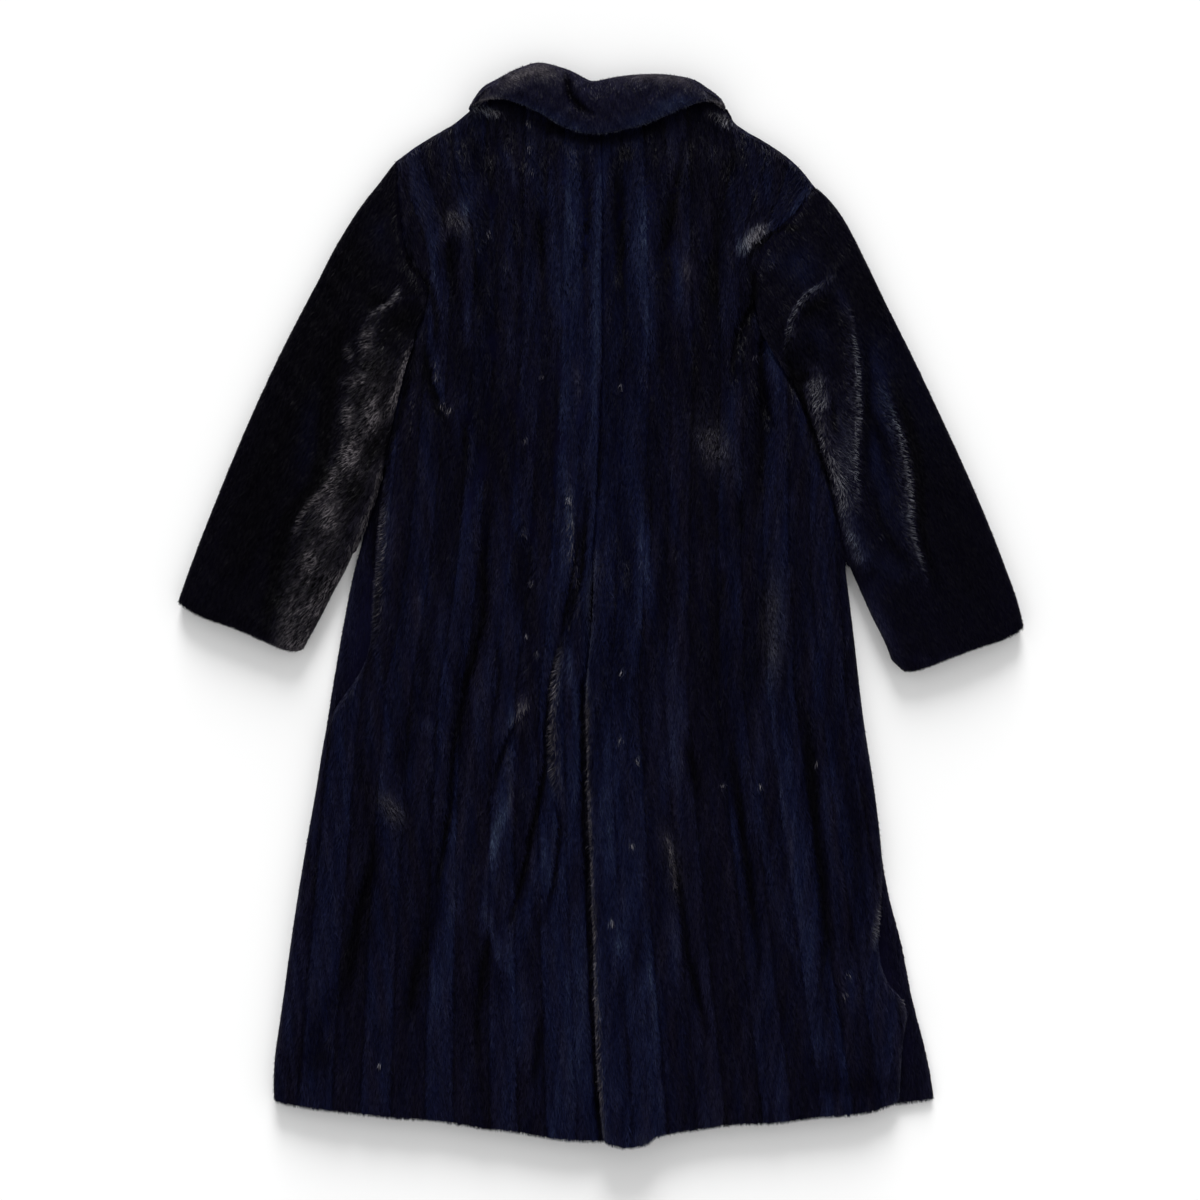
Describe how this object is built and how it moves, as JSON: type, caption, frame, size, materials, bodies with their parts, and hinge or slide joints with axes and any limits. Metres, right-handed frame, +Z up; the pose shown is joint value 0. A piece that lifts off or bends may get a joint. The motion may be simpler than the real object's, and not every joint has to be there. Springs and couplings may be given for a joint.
{
  "type": "long fur coat",
  "caption": "Long flared fur coat laid face down, with set-in sleeves, a turned-down collar and a back vent.",
  "frame": {"origin": "on the surface the coat lies on, below the middle of its outline", "axes": "+Z up, +Y from hem to collar, +X towards the wearer's right sleeve as seen from above with the back up"},
  "size_m": [1.019, 1.3038, 0.032],
  "materials": {
    "body_fur": "glossy short pile, dyed blue-black",
    "collar_fur": "glossy short pile, blue-black with a grey bloom"
  },
  "bodies": {
    "root": {"back_left": "body_fur", "back_right": "body_fur", "front_left": "body_fur", "front_right": "body_fur", "sleeve_left": "body_fur", "sleeve_right": "body_fur", "collar": "collar_fur", "collar_front_left": "collar_fur", "collar_front_right": "collar_fur"}
  },
  "joints": []
}
